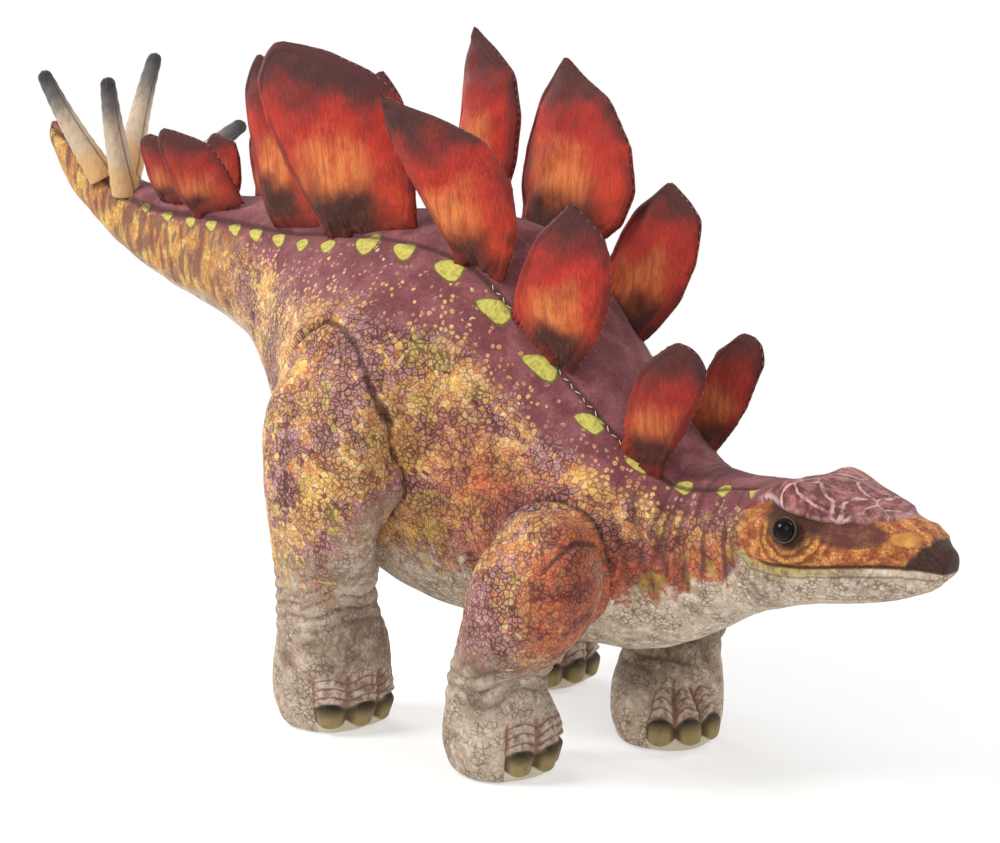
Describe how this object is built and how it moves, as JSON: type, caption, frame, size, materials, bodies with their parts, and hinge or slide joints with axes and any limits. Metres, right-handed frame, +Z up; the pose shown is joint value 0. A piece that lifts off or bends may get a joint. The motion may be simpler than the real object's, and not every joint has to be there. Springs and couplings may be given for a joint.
{
  "type": "stuffed toy dinosaur",
  "caption": "Standing stegosaurus soft toy in printed plush, with padded back plates in two rows, a low head, sturdy legs and a spiked tail.",
  "frame": {"origin": "on the ground, under the middle of the bounding box", "axes": "+X towards the nose, +Y to the toy's left, +Z up"},
  "size_m": [0.403, 0.1326, 0.2262],
  "materials": {
    "scale_fabric": "short-pile plush printed with yellow, orange and purple scales",
    "back_fabric": "short-pile plush, dusty mauve with a soft sheen",
    "belly_fabric": "short-pile plush, pale beige with fine brown cracks",
    "plate_fabric": "soft short fur, maroon tips running to orange",
    "spike_fabric": "short plush, charcoal tip, grey to cream base",
    "stuffing": "polyester fibre",
    "eye": "gloss black dome",
    "eye_washer": "moulded white"
  },
  "bodies": {
    "torso": {"back_gusset": "back_fabric", "belly_panel": "belly_fabric", "torso_side_left": "scale_fabric", "torso_side_right": "scale_fabric", "torso_stuffing": "stuffing"},
    "neck": {"nape_panel": "back_fabric", "neck_side_left": "scale_fabric", "neck_side_right": "scale_fabric", "neck_stuffing": "stuffing", "throat_panel": "belly_fabric"},
    "head": {"chin_panel": "belly_fabric", "eye_left": "eye", "eye_right": "eye", "eye_washer_left": "eye_washer", "eye_washer_right": "eye_washer", "head_crown": "back_fabric", "head_side_left": "scale_fabric", "head_side_right": "scale_fabric", "head_stuffing": "stuffing"},
    "tail": {"tail_side_left": "scale_fabric", "tail_side_right": "scale_fabric", "tail_stuffing": "stuffing", "tail_top": "back_fabric", "tail_underside": "belly_fabric"},
    "tail_tip": {"tail_tip_cover": "scale_fabric", "tail_tip_stuffing": "stuffing"},
    "leg_front_left": {"leg_front_left_cover": "scale_fabric", "leg_front_left_sole": "belly_fabric", "leg_front_left_stuffing": "stuffing"},
    "leg_front_right": {"leg_front_right_cover": "scale_fabric", "leg_front_right_sole": "belly_fabric", "leg_front_right_stuffing": "stuffing"},
    "leg_hind_left": {"leg_hind_left_cover": "scale_fabric", "leg_hind_left_sole": "belly_fabric", "leg_hind_left_stuffing": "stuffing"},
    "leg_hind_right": {"leg_hind_right_cover": "scale_fabric", "leg_hind_right_sole": "belly_fabric", "leg_hind_right_stuffing": "stuffing"},
    "plate_left_1": {"plate_left_1": "plate_fabric"},
    "plate_left_2": {"plate_left_2": "plate_fabric"},
    "plate_left_3": {"plate_left_3": "plate_fabric"},
    "plate_left_4": {"plate_left_4": "plate_fabric"},
    "plate_left_5": {"plate_left_5": "plate_fabric"},
    "plate_left_6": {"plate_left_6": "plate_fabric"},
    "plate_left_7": {"plate_left_7": "plate_fabric"},
    "plate_right_1": {"plate_right_1": "plate_fabric"},
    "plate_right_2": {"plate_right_2": "plate_fabric"},
    "plate_right_3": {"plate_right_3": "plate_fabric"},
    "plate_right_4": {"plate_right_4": "plate_fabric"},
    "plate_right_5": {"plate_right_5": "plate_fabric"},
    "plate_right_6": {"plate_right_6": "plate_fabric"},
    "plate_right_7": {"plate_right_7": "plate_fabric"},
    "tail_spike_front_left": {"tail_spike_front_left": "spike_fabric"},
    "tail_spike_front_right": {"tail_spike_front_right": "spike_fabric"},
    "tail_spike_rear_left": {"tail_spike_rear_left": "spike_fabric"},
    "tail_spike_rear_right": {"tail_spike_rear_right": "spike_fabric"}
  },
  "joints": [
    {"name": "neck_turn", "type": "hinge", "parent": "torso", "child": "neck", "pos_m": [0.098, 0, 0.074], "axis": [0, 0, 1], "range_deg": [-15, 15], "stiffness_Nm_per_rad": 0.25},
    {"name": "head_nod", "type": "hinge", "parent": "neck", "child": "head", "pos_m": [0.134, 0, 0.0765], "axis": [0, 1, 0], "range_deg": [-12, 15], "stiffness_Nm_per_rad": 0.2},
    {"name": "tail_swing", "type": "hinge", "parent": "torso", "child": "tail", "pos_m": [-0.078, 0, 0.14], "axis": [0, 0, 1], "range_deg": [-15, 15], "stiffness_Nm_per_rad": 0.25},
    {"name": "tail_tip_bend", "type": "hinge", "parent": "tail", "child": "tail_tip", "pos_m": [-0.134, 0, 0.149], "axis": [0, 1, 0], "range_deg": [-7, 10], "stiffness_Nm_per_rad": 0.1},
    {"name": "leg_front_right_swing", "type": "hinge", "parent": "torso", "child": "leg_front_right", "pos_m": [0.078, -0.0392, 0.07], "axis": [0, 1, 0], "range_deg": [-12, 12], "stiffness_Nm_per_rad": 0.8},
    {"name": "leg_front_left_swing", "type": "hinge", "parent": "torso", "child": "leg_front_left", "pos_m": [0.078, 0.0392, 0.07], "axis": [0, 1, 0], "range_deg": [-12, 12], "stiffness_Nm_per_rad": 0.8},
    {"name": "leg_hind_right_swing", "type": "hinge", "parent": "torso", "child": "leg_hind_right", "pos_m": [-0.006, -0.0452, 0.1], "axis": [0, 1, 0], "range_deg": [-12, 12], "stiffness_Nm_per_rad": 0.8},
    {"name": "leg_hind_left_swing", "type": "hinge", "parent": "torso", "child": "leg_hind_left", "pos_m": [-0.006, 0.0452, 0.1], "axis": [0, 1, 0], "range_deg": [-12, 12], "stiffness_Nm_per_rad": 0.8},
    {"name": "plate_right_1_flop", "type": "hinge", "parent": "neck", "child": "plate_right_1", "pos_m": [0.1, -0.01711, 0.10093], "axis": [0.7905, 0.1111, -0.6023], "range_deg": [-12, 12], "stiffness_Nm_per_rad": 0.02},
    {"name": "plate_right_2_flop", "type": "hinge", "parent": "torso", "child": "plate_right_2", "pos_m": [0.067, -0.02301, 0.13099], "axis": [0.7274, 0.1022, -0.6785], "range_deg": [-12, 12], "stiffness_Nm_per_rad": 0.02},
    {"name": "plate_right_3_flop", "type": "hinge", "parent": "torso", "child": "plate_right_3", "pos_m": [0.041, -0.02444, 0.15356], "axis": [0.8874, 0.1886, -0.4207], "range_deg": [-12, 12], "stiffness_Nm_per_rad": 0.02},
    {"name": "plate_right_4_flop", "type": "hinge", "parent": "torso", "child": "plate_right_4", "pos_m": [-0.0085, -0.0235, 0.16231], "axis": [0.9661, 0.1703, 0.1941], "range_deg": [-7, 12], "stiffness_Nm_per_rad": 0.02},
    {"name": "plate_right_5_flop", "type": "hinge", "parent": "torso", "child": "plate_right_5", "pos_m": [-0.046, -0.021, 0.16141], "axis": [0.985, 0.0689, 0.1582], "range_deg": [-12, 9], "stiffness_Nm_per_rad": 0.02},
    {"name": "plate_right_6_flop", "type": "hinge", "parent": "tail", "child": "plate_right_6", "pos_m": [-0.093, -0.01446, 0.16228], "axis": [0.9446, 0.1665, 0.2829], "range_deg": [-10, 12], "stiffness_Nm_per_rad": 0.02},
    {"name": "plate_right_7_flop", "type": "hinge", "parent": "tail", "child": "plate_right_7", "pos_m": [-0.1185, -0.01163, 0.16298], "axis": [0.9832, 0.0343, 0.1794], "range_deg": [-12, 12], "stiffness_Nm_per_rad": 0.02},
    {"name": "plate_left_1_flop", "type": "hinge", "parent": "neck", "child": "plate_left_1", "pos_m": [0.0965, 0.01779, 0.10368], "axis": [0.7639, -0.1073, -0.6364], "range_deg": [-12, 12], "stiffness_Nm_per_rad": 0.02},
    {"name": "plate_left_2_flop", "type": "hinge", "parent": "torso", "child": "plate_left_2", "pos_m": [0.061, 0.02362, 0.13653], "axis": [0.7481, -0.1051, -0.6552], "range_deg": [-12, 9], "stiffness_Nm_per_rad": 0.02},
    {"name": "plate_left_3_flop", "type": "hinge", "parent": "torso", "child": "plate_left_3", "pos_m": [0.0305, 0.0244, 0.15731], "axis": [0.9656, -0.2053, -0.1594], "range_deg": [-12, 8], "stiffness_Nm_per_rad": 0.02},
    {"name": "plate_left_4_flop", "type": "hinge", "parent": "torso", "child": "plate_left_4", "pos_m": [-0.007, 0.0235, 0.16277], "axis": [0.9678, -0.1707, 0.185], "range_deg": [-9, 12], "stiffness_Nm_per_rad": 0.02},
    {"name": "plate_left_5_flop", "type": "hinge", "parent": "torso", "child": "plate_left_5", "pos_m": [-0.048, 0.02079, 0.1614], "axis": [0.9848, -0.0689, 0.1592], "range_deg": [-12, 12], "stiffness_Nm_per_rad": 0.02},
    {"name": "plate_left_6_flop", "type": "hinge", "parent": "tail", "child": "plate_left_6", "pos_m": [-0.092, 0.01459, 0.16227], "axis": [0.9449, -0.1666, 0.2816], "range_deg": [-12, 11], "stiffness_Nm_per_rad": 0.02},
    {"name": "plate_left_7_flop", "type": "hinge", "parent": "tail", "child": "plate_left_7", "pos_m": [-0.1185, 0.01163, 0.16301], "axis": [0.9831, -0.0343, 0.1799], "range_deg": [-12, 12], "stiffness_Nm_per_rad": 0.02},
    {"name": "tail_spike_rear_right_flex", "type": "hinge", "parent": "tail_tip", "child": "tail_spike_rear_right", "pos_m": [-0.166, -0.00619, 0.1688], "axis": [1, 0, 0], "range_deg": [-8, 8], "stiffness_Nm_per_rad": 0.01},
    {"name": "tail_spike_rear_left_flex", "type": "hinge", "parent": "tail_tip", "child": "tail_spike_rear_left", "pos_m": [-0.166, 0.00619, 0.1688], "axis": [1, 0, 0], "range_deg": [-8, 8], "stiffness_Nm_per_rad": 0.01},
    {"name": "tail_spike_front_right_flex", "type": "hinge", "parent": "tail_tip", "child": "tail_spike_front_right", "pos_m": [-0.151, -0.00744, 0.16457], "axis": [1, 0, 0], "range_deg": [-8, 8], "stiffness_Nm_per_rad": 0.01},
    {"name": "tail_spike_front_left_flex", "type": "hinge", "parent": "tail_tip", "child": "tail_spike_front_left", "pos_m": [-0.147, 0.00781, 0.1638], "axis": [1, 0, 0], "range_deg": [-8, 8], "stiffness_Nm_per_rad": 0.01}
  ]
}
